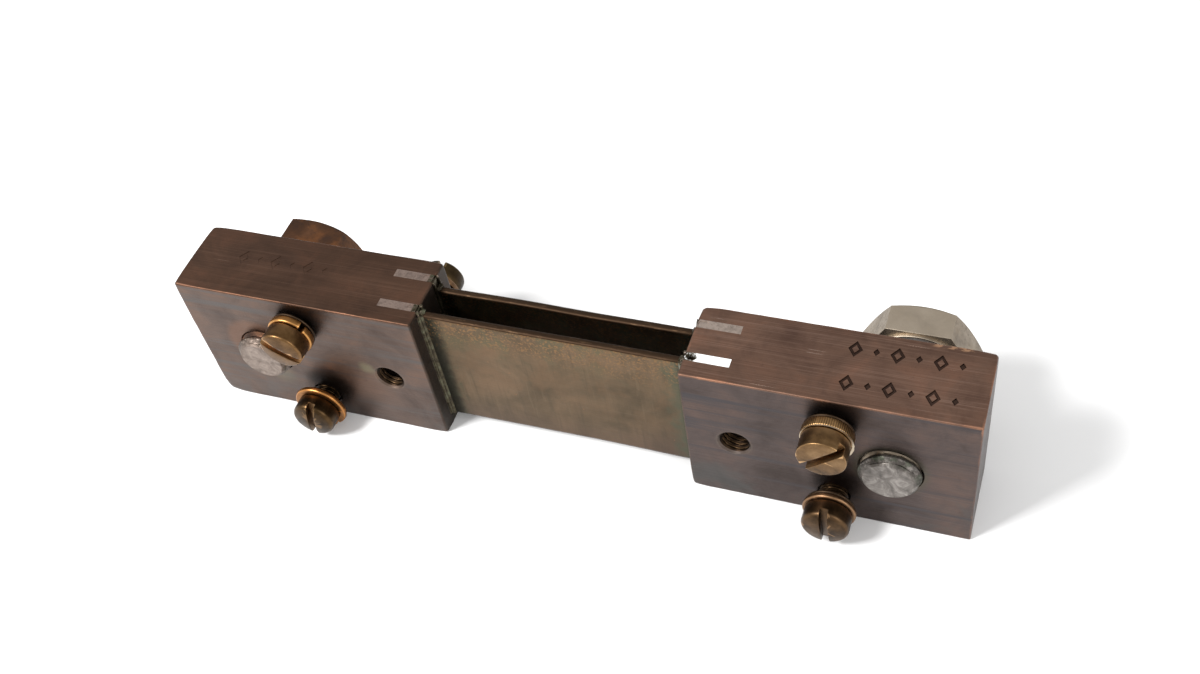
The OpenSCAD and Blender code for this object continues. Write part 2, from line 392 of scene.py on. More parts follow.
# ------------------------------------------------------------------- materials
def block_material(name, node, side, holes, tone):
    lo, hi = node_mm(node)
    centre, half = (lo + hi) / 2, (hi - lo) / 2
    t = Tree(name)
    top = t.band(t.z, hi.z - 0.45, hi.z - 0.12)
    inner_face_shade = t.band(t.math("MULTIPLY", t.x, side), abs(lo.x if side > 0 else hi.x) + 0.4,
                        abs(lo.x if side > 0 else hi.x) + 0.12)
    patch = t.noise(0.11, 6, 0.6, offset=(side * 13, 5, 2), distort=0.6)
    blotch = t.noise(0.42, 5, 0.62, offset=(3, side * 9, 7))
    fine = t.noise(2.6, 4, 0.6)
    grain = t.noise(1.0, 6, 0.72, stretch=(0.045, 2.4, 2.4), offset=(side * 5, 0, 0))
    coarse_grain = t.noise(1.0, 3, 0.6, stretch=(0.02, 0.75, 0.75), offset=(4, side * 3, 0))
    hair = t.noise(1.0, 4, 0.65, stretch=(0.05, 6.5, 6.5), offset=(side * 2, 6, 1))
    # front and sides: grey mauve oxide with cooler and warmer clouds
    face = t.ramp(patch, [(0.30, tone["face_dark"]), (0.50, tone["face"]), (0.68, tone["face_warm"])])
    face = t.mix(t.band(coarse_grain, 0.50, 0.72), face, tone["face_cool"])
    face = t.mix(t.mul(t.band(grain, 0.55, 0.80), 0.5), face, tone["face_light"])
    face = t.mix(t.mul(t.band(blotch, 0.60, 0.80), 0.35), face, tone["face_dark"])
    # top: redder, brushed along the length
    upper = t.ramp(patch, [(0.30, tone["top_dark"]), (0.52, tone["top"]), (0.70, tone["top_warm"])])
    upper = t.mix(t.mul(t.band(blotch, 0.52, 0.78), 0.55), upper, tone["top_dark"])
    upper = t.mix(t.mul(t.band(grain, 0.52, 0.74), 0.55), upper, tone["top_light"])
    upper = t.mix(t.mul(t.band(grain, 0.46, 0.28), 0.45), upper, tone["top_dark"])
    scratch = t.noise(1.0, 2, 0.5, stretch=(0.06, 5.5, 5.5), offset=(9, 1, 4))
    scratch = t.mul(t.band(scratch, 0.70, 0.76), t.band(t.noise(0.22, 2), 0.48, 0.62))
    upper = t.mix(t.mul(scratch, 0.55), upper, tone["scratch"])
    upper = t.mix(t.mul(t.band(hair, 0.54, 0.70), 0.45), upper, tone["top_light"])
    upper = t.mix(t.mul(t.band(hair, 0.47, 0.34), 0.45), upper, tone["top_dark"])
    face = t.mix(t.mul(t.band(hair, 0.56, 0.72), 0.30), face, tone["face_light"])
    face = t.mix(t.mul(t.band(hair, 0.45, 0.32), 0.35), face, tone["face_dark"])
    cloud = t.noise(0.09, 4, 0.6, offset=(side * 8, 1, 3), distort=0.4)
    patina = t.mul(t.band(cloud, 0.48, 0.64), t.band(t.z, 16, 4))
    face = t.mix(t.mul(patina, 0.55), face, tone["patina"])
    color = t.mix(top, face, upper)
    color = t.mix(t.mul(t.band(fine, 0.58, 0.75), 0.18), color, tone["face_dark"])
    # worn edges show copper
    edge = t.edge_distance(centre, half)
    wobble = t.add(t.mul(t.noise(0.5, 4, 0.6, offset=(1, 2, 3)), 0.9), -0.38)
    worn = t.band(t.math("SUBTRACT", edge, wobble), 0.24, 0.02)
    long_edge = t.mul(worn, t.band(t.noise(0.16, 3, 0.5, offset=(7, 7, side)), 0.36, 0.60))
    high = t.add(0.35, t.mul(t.band(t.z, hi.z - 2.5, hi.z - 0.8), 0.65))
    color = t.mix(t.mul(long_edge, 0.55, high), color, tone["copper"])
    if side > 0:
        x0 = RIGHT_BOLT[0] + 2.5
        rub = t.mul(t.band(t.x, x0, x0 + 1.5), t.band(t.x, x0 + 7.5, x0 + 6.0),
                    t.band(t.y, hi.y - 0.9, hi.y - 0.5), top,
                    t.band(t.noise(0.9, 4, 0.65, stretch=(1, 2, 2), offset=(6, 6, 6)), 0.46, 0.58))
        color = t.mix(t.mul(rub, 0.65), color, (0.58, 0.34, 0.20))
    halo = t.mul(t.band(edge, 2.2, 0.2), top, t.band(t.noise(0.2, 4, 0.6, offset=(2, 8, 5)), 0.46, 0.7))
    color = t.mix(t.mul(halo, 0.25), color, tone["copper_dull"])
    # rubbed rings and stains round the holes on the front, and the painted dark reflection of each sense screw
    # beside it
    front = t.band(t.y, lo.y + 0.5, lo.y + 0.1)
    rough = t.add(0.27, t.mul(blotch, 0.14), t.mul(top, 0.10))
    for x, z, r0, r1, col, amount in holes:
        r = t.radius(x, z)
        wob = t.add(r, t.mul(t.math("SUBTRACT", t.noise(0.9, 3, 0.6), 0.5), 0.9))
        ring = t.mul(t.band(wob, r1, r0), amount, front)
        color = t.mix(ring, color, col)
    # painted shade inside the holes and stamped hollows
    hollow_shade = t.mul(t.band(edge, 0.9, 1.3), t.band(t.depth_in(t.z, centre.z, half.z), 0.06, 0.18),
                 t.band(t.depth_in(t.y, centre.y, half.y), 0.25, 0.5),
                 t.band(t.depth_in(t.x, centre.x, half.x), 0.25, 0.5))
    color = t.mix(t.mul(hollow_shade, 0.72), color, (0.025, 0.015, 0.012))
    # painted shade on the block's inner end face, in the tone's inner colour
    color = t.mix(t.mul(inner_face_shade, 0.6), color, tone["inner"])
    height = t.add(t.mul(grain, t.add(0.35, t.mul(top, 0.9))), t.mul(fine, 0.25), t.mul(scratch, -0.6),
                   t.mul(coarse_grain, 0.4), t.mul(hair, 0.45))
    normal = t.bump(height, 0.05, 0.55)
    pits = t.band(t.cells(0.9), 0.10, 0.0)
    normal = t.bump(t.mul(pits, t.band(blotch, 0.5, 0.6)), 0.05, 0.35, normal)
    rough = t.add(rough, t.mul(grain, 0.12), t.mul(hollow_shade, 0.3), t.mul(inner_face_shade, 0.12))
    return t.finish(color, rough, 1.0, normal, Anisotropic=0.25)


# in each tone, "inner" is painted shade for the inner end face
RIGHT_TONE = {
    "face": (0.078, 0.058, 0.053), "face_dark": (0.046, 0.033, 0.029), "face_warm": (0.108, 0.072, 0.060),
    "face_cool": (0.056, 0.050, 0.053), "face_light": (0.124, 0.100, 0.092),
    "top": (0.166, 0.097, 0.069), "top_dark": (0.100, 0.057, 0.042), "top_warm": (0.212, 0.113, 0.076),
    "top_light": (0.285, 0.185, 0.142), "scratch": (0.52, 0.41, 0.34), "copper": (0.38, 0.185, 0.110),
    "copper_dull": (0.24, 0.115, 0.070), "inner": (0.07, 0.050, 0.040), "patina": (0.066, 0.070, 0.068),
}
LEFT_TONE = {
    "face": (0.100, 0.067, 0.053), "face_dark": (0.062, 0.041, 0.033), "face_warm": (0.132, 0.080, 0.058),
    "face_cool": (0.086, 0.073, 0.068), "face_light": (0.140, 0.113, 0.103),
    "top": (0.090, 0.049, 0.032), "top_dark": (0.056, 0.032, 0.022), "top_warm": (0.124, 0.061, 0.038),
    "top_light": (0.130, 0.077, 0.054), "scratch": (0.20, 0.14, 0.11), "copper": (0.22, 0.105, 0.062),
    "copper_dull": (0.14, 0.064, 0.040), "inner": (0.032, 0.028, 0.022), "patina": (0.086, 0.078, 0.074),
}


def strip_material(name, node, seed):
    lo, hi = node_mm(node)
    t = Tree(name)
    cloud = t.noise(0.10, 5, 0.6, offset=(seed, 3, 1), distort=0.4)
    mott = t.noise(0.55, 5, 0.6, offset=(seed, 0, 4))
    grain = t.noise(1.0, 5, 0.7, stretch=(0.05, 1.0, 2.2), offset=(0, seed, 0))
    streak = t.noise(1.0, 4, 0.6, stretch=(1.1, 1.0, 0.07), offset=(seed, 2, 6))
    color = t.ramp(cloud, [(0.34, (0.072, 0.050, 0.028)), (0.50, (0.108, 0.073, 0.042)),
                           (0.64, (0.142, 0.092, 0.053))])
    color = t.mix(t.mul(t.band(mott, 0.52, 0.78), 0.5), color, (0.078, 0.064, 0.038))
    color = t.mix(t.mul(t.band(grain, 0.55, 0.78), 0.3), color, (0.155, 0.113, 0.073))
    color = t.mix(t.mul(t.band(streak, 0.52, 0.72), 0.45), color, (0.066, 0.050, 0.031))
    color = t.mix(t.mul(t.band(streak, 0.46, 0.30), 0.35), color, (0.148, 0.104, 0.062))
    warm = t.mul(t.band(t.noise(0.13, 4, 0.6, offset=(2, seed, 11), distort=0.5), 0.46, 0.62),
                 t.band(t.z, lo.z + 4, lo.z + 15))
    color = t.mix(t.mul(warm, 0.4), color, (0.145, 0.084, 0.044))
    green = t.mul(t.band(t.noise(0.16, 4, 0.6, offset=(9, seed, 5), distort=0.4), 0.44, 0.60),
                  t.band(t.z, hi.z - 10, hi.z - 3))
    color = t.mix(t.mul(green, 0.55), color, (0.088, 0.086, 0.048))
    low = t.band(t.z, lo.z + 7, lo.z)
    color = t.mix(t.mul(low, 0.35), color, (0.098, 0.064, 0.050))
    corner = t.mul(t.band(t.x, 6, 20), t.band(t.z, lo.z + 12, lo.z))
    color = t.mix(t.mul(corner, 0.55), color, (0.058, 0.038, 0.029))
    ends = t.band(t.add(t.math("ABSOLUTE", t.x), t.mul(t.math("SUBTRACT", mott, 0.5), 6.0)), 17.8, 21.6)
    color = t.mix(t.mul(ends, 0.8), color, (0.082, 0.088, 0.058))
    # painted shade and painted reflection of the left block on the strip's left end
    left_end_shade = t.band(t.add(t.x, t.mul(t.math("SUBTRACT", mott, 0.5), 3.0)), -18.2, -20.4)
    color = t.mix(t.mul(left_end_shade, 0.85), color, (0.018, 0.017, 0.012))
    edge_mark = t.band(t.math("ABSOLUTE", t.x), 20.6, 21.6)
    color = t.mix(t.mul(edge_mark, 0.8), color, (0.030, 0.028, 0.021))
    wob = t.mul(t.noise(0.3, 4, 0.6, offset=(5, 5, seed)), 3.2)
    rim = t.band(t.math("SUBTRACT", t.math("SUBTRACT", hi.z, t.z), wob), -0.8, -2.0)
    color = t.mix(t.mul(rim, 0.75), color, (0.110, 0.056, 0.027))
    wander = t.mul(t.noise(0.18, 3, 0.5, offset=(seed, 8, 8)), 9.0)
    near_top = t.band(t.add(t.z, wander), hi.z - 3.5, hi.z + 2.5)
    specks = t.mul(t.band(t.noise(2.4, 5, 0.68, offset=(3, seed, 3)), 0.50, 0.62), near_top)
    color = t.mix(t.mul(specks, 0.75), color, (0.235, 0.125, 0.052))
    lone = t.band(t.noise(1.1, 3, 0.6, offset=(7, seed, 1)), 0.68, 0.74)
    color = t.mix(t.mul(lone, 0.6), color, (0.210, 0.105, 0.050))
    edge = t.band(t.z, hi.z - 0.36, hi.z - 0.24)
    color = t.mix(edge, color, (0.042, 0.025, 0.015))
    # painted glints on the darker top edge
    edge_glint = t.band(t.noise(0.5, 5, 0.7, stretch=(1, 6, 1), offset=(1, seed, 9)), 0.56, 0.64)
    color = t.mix(t.mul(edge, edge_glint, 0.6), color, (0.120, 0.072, 0.040))
    normal = t.bump(t.add(t.mul(grain, 0.6), t.mul(streak, 0.4), t.mul(mott, 0.6)), 0.05, 0.45)
    rough = t.add(0.30, t.mul(mott, 0.16), t.mul(ends, 0.10), t.mul(edge, 0.18))
    return t.finish(color, rough, 1.0, normal, Anisotropic=0.2)


def solder_material(name, color, rough, metallic=1.0, mouth_depth=0.25):
    """Silver only on the dressed top of the slots; everywhere else dark olive and brown, as tarnish with painted
    shade in the joints and the slot mouths.
    """
    t = Tree(name)
    a = t.noise(0.8, 4, 0.6)
    b = t.noise(3.2, 3, 0.6)
    c = t.mix(t.band(a, 0.42, 0.66), color, tuple(k * 0.72 for k in color))
    c = t.mix(t.mul(t.band(b, 0.56, 0.70), 0.5), c, tuple(k * 0.45 for k in color))
    stain = t.ramp(t.noise(0.5, 4, 0.6, offset=(2, 2, 2)),
                   [(0.36, (0.032, 0.026, 0.018)), (0.52, (0.070, 0.058, 0.036)),
                    (0.68, (0.110, 0.112, 0.074))])
    side = t.band(t.math("SUBTRACT", TOP_Z - 0.35, t.z), 0.0, 0.5)
    mouth = t.band(t.math("ABSOLUTE", t.x), INNER + mouth_depth, INNER + mouth_depth - 0.3)
    # painted shade over the tarnish below the top and in the slot mouths
    dark = t.math("MAXIMUM", side, t.mul(mouth, t.band(b, 0.66, 0.52)))
    c = t.mix(dark, c, stain)
    normal = t.bump(t.add(a, t.mul(b, 0.35)), 0.16, 0.55)
    return t.finish(c, t.add(rough, t.mul(b, 0.15)), metallic, normal)


def brass_material(name, light, base, dark, seed, rough=0.26, shank=None):
    """shank: (y, direction) from which the thread under a head is dark with painted shade."""
    t = Tree(name)
    cloud = t.noise(0.28, 5, 0.62, offset=(seed, seed * 2, 0))
    spot = t.noise(1.6, 5, 0.65, offset=(0, seed, 3))
    fine = t.noise(6.0, 3, 0.6)
    c = t.ramp(cloud, [(0.32, dark), (0.50, base), (0.70, light)])
    c = t.mix(t.mul(t.band(spot, 0.55, 0.75), 0.6), c, dark)
    p = t.pointiness()
    # painted highlight on sharp edges and painted shade in creases, from the pointiness
    c = t.mix(t.mul(t.band(p, 0.515, 0.56), 0.8), c, tuple(min(1.0, k * 2.4) for k in light))
    c = t.mix(t.mul(t.band(p, 0.485, 0.43), 0.85), c, tuple(k * 0.35 for k in dark))
    if shank:
        y, way = shank
        # painted shade on the thread under the head
        c = t.mix(t.mul(t.band(t.y, y, y + way * 0.25), 0.85), c, tuple(k * 0.3 for k in dark))
    normal = t.bump(t.add(t.mul(spot, 0.8), t.mul(fine, 0.25)), 0.05, 0.5)
    r = t.add(rough, t.mul(spot, 0.2), t.mul(t.band(cloud, 0.5, 0.3), 0.08))
    return t.finish(c, r, 1.0, normal)


def steel_material(name, light, base, dark, seed, rough=0.33, stain=None, amount=0.4):
    t = Tree(name)
    cloud = t.noise(0.20, 5, 0.6, offset=(seed, 1, seed), distort=0.5)
    spot = t.noise(1.3, 6, 0.68, offset=(2, seed, 5))
    speck = t.cells(1.6)
    c = t.ramp(cloud, [(0.30, dark), (0.50, base), (0.70, light)])
    c = t.mix(t.mul(t.band(spot, 0.50, 0.70), 0.55), c, dark)
    if stain:
        c = t.mix(t.mul(t.band(t.noise(0.33, 4, 0.6, offset=(8, seed, 1)), 0.46, 0.66), amount), c, stain)
    c = t.mix(t.mul(t.band(speck, 0.10, 0.02), 0.35), c, tuple(k * 0.4 for k in dark))
    p = t.pointiness()
    # painted highlight on sharp edges and painted shade in creases, from the pointiness
    c = t.mix(t.mul(t.band(p, 0.52, 0.57), 0.6), c, tuple(min(1.0, k * 1.35) for k in light))
    c = t.mix(t.mul(t.band(p, 0.48, 0.42), 0.8), c, tuple(k * 0.4 for k in dark))
    normal = t.bump(t.add(spot, t.mul(t.noise(5, 3, 0.6), 0.3)), 0.06, 0.5)
    return t.finish(c, t.add(rough, t.mul(spot, 0.25)), 1.0, normal)


def stud_end_material(name, light, base, dark, seed, centre):
    """Sawn and weathered bolt end: cloudy pale disc, rougher and darker towards its rim."""
    t = Tree(name)
    cloud = t.noise(0.35, 6, 0.65, offset=(seed, 0, seed), distort=1.2)
    spot = t.noise(1.9, 5, 0.65, offset=(1, seed, 2))
    r = t.radius(centre[0], centre[1])
    c = t.ramp(cloud, [(0.30, dark), (0.48, base), (0.66, light)])
    c = t.mix(t.mul(t.band(spot, 0.58, 0.75), 0.4), c, dark)
    c = t.mix(t.mul(t.band(r, 3.7, 4.5), t.band(spot, 0.35, 0.55), 0.7), c, tuple(k * 0.45 for k in dark))
    c = t.mix(t.mul(t.band(r, 3.9, 4.7), t.band(t.noise(0.5, 3), 0.48, 0.62), 0.5), c, (0.085, 0.105, 0.070))
    normal = t.bump(t.add(t.mul(cloud, 0.9), t.mul(spot, 0.5)), 0.14, 0.6)
    metallic = t.add(0.55, t.mul(t.band(r, 3.4, 4.3), 0.4))
    return t.finish(c, t.add(0.36, t.mul(spot, 0.25)), metallic, normal)


# ------------------------------------------------------------------ the blocks
def rounded_block(name, node, worn_corners):
    """Bar with uneven worn edges: a dense box whose edge radius wanders and grows at some corners."""
    lo, hi = node_mm(node)
    c, h = (lo + hi) / 2, (hi - lo) / 2
    r0 = 0.25

    def line(half, n):
        ends = [0.0, 0.10, 0.22, 0.38, 0.6, 0.95]
        mid = np.linspace(-half + 1.5, half - 1.5, n)
        return sorted([-half + e for e in ends] + list(mid) + [half - e for e in ends])

    axes = [line(h.x, 34), line(h.y, 9), line(h.z, 20)]
    verts, index, faces = [], {}, []

    def vid(p):
        key = tuple(round(k, 5) for k in p)
        if key not in index:
            index[key] = len(verts)
            verts.append(Vector(p))
        return index[key]

    for fixed in range(3):
        u, v = [a for a in range(3) if a != fixed]
        for sign in (-1, 1):
            for i in range(len(axes[u]) - 1):
                for j in range(len(axes[v]) - 1):
                    q = []
                    for a, b in ((i, j), (i + 1, j), (i + 1, j + 1), (i, j + 1)):
                        p = [0, 0, 0]
                        p[fixed] = sign * h[fixed]
                        p[u], p[v] = axes[u][a], axes[v][b]
                        q.append(vid(p))
                    faces.append(q)
    out = []
    for p in verts:
        r = r0 * (1.0 + 0.35 * noise.noise(p * 0.35 + c) + 0.25 * noise.noise(p * 1.1 + c * 2))
        for corner, size in worn_corners:
            d = (p - Vector([s * k for s, k in zip(corner, h)])).length
            r += size * math.exp(-((d / 1.6) ** 2))
        r = max(0.15, r)
        inner = Vector([max(-k + r, min(k - r, q)) for q, k in zip(p, h)])
        d = p - inner
        out.append(c + (inner + d.normalized() * r if d.length > 1e-6 else p))
    return new_object(name, out, faces, 40)


def cylinder_y(name, x, z, r, y0, y1, seg=64):
    v = []
    for y in (y0, y1):
        for j in range(seg):
            a = 2 * math.pi * j / seg
            v.append((x + r * math.cos(a), y, z + r * math.sin(a)))
    f = grid_faces(2, seg) + [tuple(range(seg)), tuple(range(2 * seg - 1, seg - 1, -1))]
    return new_object(name, v, f)


def bore_tool(x, z, r, c, seg=64):
    """Cutter for a bore right through the block, with a small countersink at both faces."""
    v = []
    wide = r + 1.3 + c
    for y, k in ((FRONT_Y - 1.3, wide), (FRONT_Y + c, r), (BACK_Y - c, r), (BACK_Y + 1.3, wide)):
        for j in range(seg):
            a = 2 * math.pi * j / seg
            v.append((x + k * math.cos(a), y, z + k * math.sin(a)))
    f = grid_faces(4, seg) + [tuple(range(seg)), tuple(range(4 * seg - 1, 3 * seg - 1, -1))]
    return new_object("tool", v, f)


def prism_z(name, points, z0, z1):
    n = len(points)
    v = [(x, y, z0) for x, y in points] + [(x, y, z1) for x, y in points]
    f = grid_faces(2, n) + [tuple(range(n)), tuple(range(2 * n - 1, n - 1, -1))]
    return new_object(name, v, f)


def build_block(side):
    word = "right" if side > 0 else "left"
    node = word + "_block"
    lo, hi = node_mm(node)
    inner = lo.x if side > 0 else hi.x
    if side > 0:
        corners = [((1, 1, 1), 0.35), ((-1, 1, 1), 0.5), ((1, -1, 1), 0.15),
                   ((-1, 1, -1), 0.4), ((-1, -1, -1), 0.35)]
    else:
        corners = [((-1, -1, -1), 1.0), ((-1, 1, 1), 0.5), ((1, 1, 1), 0.25),
                   ((1, -1, -1), 0.3), ((-1, -1, 1), 0.2)]
    ob = rounded_block(word + "_block_body", node, corners)
    bores = [
        (*axis_of(word + "_bolt"), BOLT_HOLE_R, 0.22),
        (*axis_of(word + "_upper_screw"), SCREW_HOLE_R, 0.25),
        (*axis_of(word + "_lower_screw"), SCREW_HOLE_R, 0.25),
        (side * HOLE_X, HOLE_Z[side], SCREW_HOLE_R, 0.3),
    ]
    for x, z, r, c in bores:
        cut(ob, bore_tool(x, z, r, c))
    for y in (-STRIP_Y, STRIP_Y):
        a, b = sorted((inner - side * 1.0, inner + side * SLOT_DEPTH))
        cut(ob, box_mesh("tool", (a, y - SLOT_HALF, -1), (b, y + SLOT_HALF, TOP_Z + 1)))
    cut(ob, stamp_tools(side))
    finish_shading(ob, 38)
    ob.data.transform(Matrix.Scale(MM, 4))
    return ob


def diamond(x, y, half):
    return [(x - half, y), (x, y - 1.4 * half), (x + half, y), (x, y + 1.4 * half)]


def stamp_tools(side):
    """Rows of plain punch marks on top of the block: outline diamonds and small solid ones."""
    z0, z1 = TOP_Z - (0.24 if side > 0 else 0.05), TOP_Z + 1
    count, step = 6, 3.1
    rows = [(3.4, 46.6), (-3.1, 46.6)] if side > 0 else [(1.1, -57.0)]
    parts = []
    for y, first in rows:
        for k in range(count):
            x = first + step * k
            if k % 2 == 0:
                ring = prism_z("tool_part", diamond(x, y, 1.1), z0, z1)
                cut(ring, prism_z("tool", diamond(x, y, 0.52), z0 - 1, z1 + 1))
                parts.append(ring)
            else:
                parts.append(prism_z("tool_part", diamond(x, y, 0.5), z0, z1))
    return join(parts, "stamp_tool")


def tarnish_and_reflection_spots(side, words):
    """Dark tarnish and the painted dark reflection of each sense screw, up and to the right of it."""
    spots = []
    for word in words:
        x, z = axis_of(f"{side}_{word}_screw")
        spots.append((x + 1.4, z + 2.6, 2.6, 6.2, (0.030, 0.019, 0.014), 0.62))
    return spots


# the first spots are tarnish with a painted dark reflection of each sense screw
right_holes = tarnish_and_reflection_spots("right", ("upper", "lower")) + [
    (HOLE_X, HOLE_Z[1], 2.5, 3.2, (0.15, 0.12, 0.095), 0.4),
    (*RIGHT_BOLT, 4.9, 6.4, (0.070, 0.066, 0.045), 0.6),
]
left_holes = tarnish_and_reflection_spots("left", ("upper", "lower")) + [
    (-HOLE_X, HOLE_Z[-1], 2.5, 3.2, (0.17, 0.13, 0.10), 0.35),
    (-HOLE_X - 3.9, HOLE_Z[-1] + 1.6, 0.4, 2.0, (0.20, 0.185, 0.11), 0.5),
    (LEFT_BOLT[0] - 1.2, LEFT_BOLT[1] + 1.6, 4.9, 6.6, (0.17, 0.085, 0.05), 0.5),
    (LEFT_BOLT[0] + 1.0, LEFT_BOLT[1] - 5.6, 1.0, 3.6, (0.14, 0.13, 0.09), 0.4),
]
settle(build_block(1), ROOT, block_material("right_copper", "right_block", 1, right_holes, RIGHT_TONE),
       ["right_block"])
settle(build_block(-1), ROOT, block_material("left_copper", "left_block", -1, left_holes, LEFT_TONE),
       ["left_block"])


# ------------------------------------------------------------------- the strips
def build_strip(name, node, seed):
    """Rolled strip with slightly wavy edges, a dressed lower edge, and rounded corners."""
    lo, hi = node_mm(node)
    xs = np.linspace(lo.x, hi.x, 90)
    zs = [0, 0.03, 0.10, 0.22] + list(np.linspace(0.6, (hi.z - lo.z) - 0.6, 22)) + [
        hi.z - lo.z - 0.22, hi.z - lo.z - 0.10, hi.z - lo.z - 0.03, hi.z - lo.z]
    verts = []
    cols = len(zs) * 2
    mid, th = (lo.y + hi.y) / 2, (hi.y - lo.y) / 2
    for x in xs:
        sag = 0.16 * noise.noise(Vector((x * 0.06, seed, 0))) * max(0.0, 1 - (abs(x) / 22) ** 4)
        dress = 0.22 * max(0.0, 1 - (x / 19) ** 2)
        ring = []
        for sgn, order in ((-1, zs), (1, zs[::-1])):
            for z in order:
                e = min(z, (hi.z - lo.z) - z)
                t = th * (1 - 0.55 * max(0.0, 1 - e / 0.22) ** 2)
                zz = lo.z + z
                if z < 6:
                    zz += dress * (1 - z / 6)
                wav = 0.05 * noise.noise(Vector((x * 0.09, z * 0.09, seed)))
                ring.append((x, mid + sag + wav * max(0.0, 1 - (abs(x) / 22) ** 4) + sgn * t, zz))
        verts += ring
    n = len(xs)
    faces = grid_faces(n, cols)
    faces += [tuple(range(cols)), tuple(range(n * cols - 1, (n - 1) * cols - 1, -1))]
    ob = new_object(name, verts, faces, 50)
    for s in (-1, 1):
        cut(ob, cylinder_y("tool", s * HOLE_X, HOLE_Z[s], SCREW_HOLE_R, -9, 9))
    ob.data.transform(Matrix.Scale(MM, 4))
    finish_shading(ob, 50)
    return ob


for row, seed in (("front", 3), ("rear", 8)):
    strip = row + "_strip"
    settle(build_strip(strip + "_sheet", strip, seed), ROOT, strip_material("strip_" + row, strip, seed),
           [strip])


# ------------------------------------------------------------------- the solder
def lump(name, centre, size, seed, rough=0.28):
    """Uneven bead of solder."""
    bm = bmesh.new()
    bmesh.ops.create_icosphere(bm, subdivisions=4, radius=1.0)
    for v in bm.verts:
        n = v.co.normalized()
        k = 1 + rough * noise.noise(n * 1.6 + Vector((seed, 0, 0)))
        k += 0.10 * noise.noise(n * 5 + Vector((0, seed, 0)))
        v.co = Vector(centre) + Vector([a * b * k for a, b in zip(n, size)])
    me = bpy.data.meshes.new(name)
    bm.to_mesh(me)
    bm.free()
    ob = bpy.data.objects.new(name, me)
    bpy.context.collection.objects.link(ob)
    finish_shading(ob, 180)
    return ob


solder_left = solder_material("solder_left", (0.300, 0.225, 0.190), 0.34, mouth_depth=1.2)
solder_right = solder_material("solder_right", (0.43, 0.35, 0.30), 0.34)
# near white: a painted highlight on the right front solder
solder_glint = solder_material("solder_glint", (1.0, 1.0, 0.98), 0.30, metallic=0.25, mouth_depth=1.8)
for side, word in ((-1, "left"), (1, "right")):
    for row, y in (("front", -STRIP_Y), ("rear", STRIP_Y)):
        node = f"{word}_{row}_solder"
        mat = solder_left if side < 0 else solder_glint if row == "front" else solder_right
        ob = NODES[node]
        ob.data.materials.clear()
        ob.data.materials.append(mat)
        m = ob.modifiers.new("soft", "BEVEL")
        m.width = 0.05 * MM
        m.segments = 2
        m.limit_method = "ANGLE"
        lo, hi = node_mm("front_strip" if row == "front" else "rear_strip")
        x = side * INNER
        beads = []
        for k in range(5):
            z = lo.z + 2.6 + (hi.z - lo.z - 5.2) * k / 4
            for sgn in (-1, 1):
                size = (0.40, 0.34, 4.6 + 0.5 * math.sin(k * 2.1 + side))
                seed = k * 3.1 + sgn + side * 2 + y
                beads.append(lump("bead_part", (x - side * 0.10, y + sgn * SLOT_HALF, z), size, seed, 0.16))
        top = (x - side * 0.15, y - 0.2 * side, hi.z)
        beads.append(lump("bead_part", top, (0.75, 0.85, 0.40), side * 5 + y))
        if node != "right_front_solder":
            a, b = sorted((x + side * 0.35, x + side * 2.4))
            fill = box_mesh("bead_part", (a, y - 0.76, TOP_Z - 1.2), (b, y + 0.76, TOP_Z - 0.04))
            bevel(fill, 0.12, 3)
            beads.append(fill)
        beads.append(lump("bead_part", (x - side * 0.15, y, lo.z + 0.2), (0.8, 0.8, 0.40), side * 3 + y))
        ob = join(beads, f"{word}_{row}_solder_beads")
        for v in ob.data.vertices:
            v.co.z = min(max(v.co.z, lo.z - 0.05), TOP_Z - 0.03)
        finish_shading(ob, 180)
        ob.data.transform(Matrix.Scale(MM, 4))
        settle(ob, ROOT, solder_left if side < 0 else solder_right)


# ------------------------------------------------------------------- the screws
def cheese_head(name, h, turn, dome, rim, slot_w=1.3, slot_d=1.6):
    r = 3.75
    prof = [(0, h), (r * 0.3, h - dome * 0.08), (r * 0.6, h - dome * 0.34), (r - rim, h - dome)]
    for k in range(1, 6):
        a = k / 5 * math.pi / 2
        prof.append((r - rim + rim * math.sin(a), h - dome - rim * (1 - math.cos(a))))
    prof += [(r, 1.6), (r, 0.22), (r - 0.06, 0.08), (r - 0.2, 0.0), (2.0, 0.0), (0, 0.0)]
    ob = lathe(name, prof, 96)
    m = Matrix.Rotation(math.radians(turn), 4, "Z")
    cut(ob, box_mesh("tool", (-6, -slot_w / 2, h - slot_d), (6, slot_w / 2, h + 2), m))
    bevel(ob, 0.07, 2, 40)
    return ob


def build_screw(name, node, body, turn, dome, rim, mat, back=False):
    lo, hi = node_mm(node)
    x, z = axis_of(node)
    h = CHEESE_H
    head = cheese_head("head_part", h, turn, dome, rim)
    shank = threaded_rod("shank_part", -SCREW_LEN, 0.3, SCREW_R, SCREW_PITCH, 0.33, tip=0.55, plain=0.5)
    ob = join([head, shank], name)
    y = hi.y - h if back else lo.y + h
    place(ob, back_matrix(x, y, z) if back else front_matrix(x, y, z))
    finish_shading(ob, 40)
    settle(ob, body, mat, [node])


